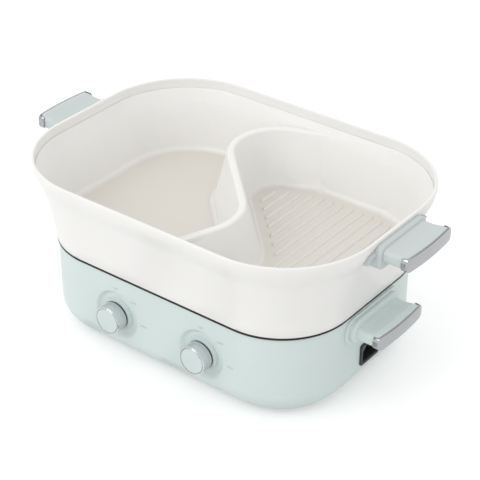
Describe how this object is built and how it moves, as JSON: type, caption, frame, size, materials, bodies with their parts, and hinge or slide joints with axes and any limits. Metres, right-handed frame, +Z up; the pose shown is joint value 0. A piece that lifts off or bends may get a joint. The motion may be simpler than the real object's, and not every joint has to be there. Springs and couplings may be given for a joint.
{
  "type": "electric grill and hot pot",
  "caption": "Countertop electric cooker: a base with knobs, handles and a mains inlet carries a lift-off pot split by an S-shaped divider into a smooth soup side and a ribbed grill side.",
  "frame": {"origin": "on the table, under the middle of the object", "axes": "+X to the end with the mains inlet, -Y to the front with the knobs, +Z up"},
  "size_m": [0.452, 0.2758, 0.184],
  "materials": {
    "mint_plastic": "satin",
    "white_coating": "satin",
    "chrome": "polished",
    "black_plastic": "matte",
    "black_steel": "satin",
    "cast_aluminium": "satin",
    "steel": "satin",
    "white_ceramic": "matte",
    "brass": "satin",
    "rubber": "matte"
  },
  "bodies": {
    "base": {"base_handle_left": "mint_plastic", "base_handle_right": "mint_plastic", "base_handle_screws": "steel", "base_handle_trim_left": "chrome", "base_handle_trim_right": "chrome", "base_housing": "mint_plastic", "bottom_cover": "black_plastic", "cover_screws": "steel", "heat_shield": "steel", "heater_deck": "black_steel", "heating_element_left": "steel", "heating_element_right": "steel", "heating_plate_left": "cast_aluminium", "heating_plate_right": "cast_aluminium", "inlet_pins": "brass", "inlet_socket": "black_plastic", "plate_posts": "steel", "rotary_switch_left": "black_plastic", "rotary_switch_right": "black_plastic", "rubber_feet": "rubber", "shield_posts": "steel", "switch_nuts": "steel", "terminal_block": "white_ceramic", "thermal_fuse": "white_ceramic", "thermostat_left": "steel", "thermostat_right": "steel"},
    "knob_left": {"knob_grip_left": "chrome", "knob_cap_left": "mint_plastic", "switch_shaft_left": "steel"},
    "knob_right": {"knob_grip_right": "chrome", "knob_cap_right": "mint_plastic", "switch_shaft_right": "steel"},
    "pot": {"pot_body": "white_coating", "pot_handle_screws": "steel", "pot_handle_left": "mint_plastic", "pot_handle_right": "mint_plastic", "pot_handle_trim_left": "chrome", "pot_handle_trim_right": "chrome"}
  },
  "joints": [
    {"name": "knob_left_turn", "type": "hinge", "parent": "base", "child": "knob_left", "pos_m": [-0.0512, -0.1175, 0.049], "axis": [0, 1, 0], "range_deg": [0, 90]},
    {"name": "knob_right_turn", "type": "hinge", "parent": "base", "child": "knob_right", "pos_m": [0.0548, -0.1175, 0.049], "axis": [0, 1, 0], "range_deg": [0, 90]},
    {"name": "pot_lift", "type": "slide", "parent": "base", "child": "pot", "axis": [0, 0, 1], "range_m": [0, 0.15]}
  ]
}
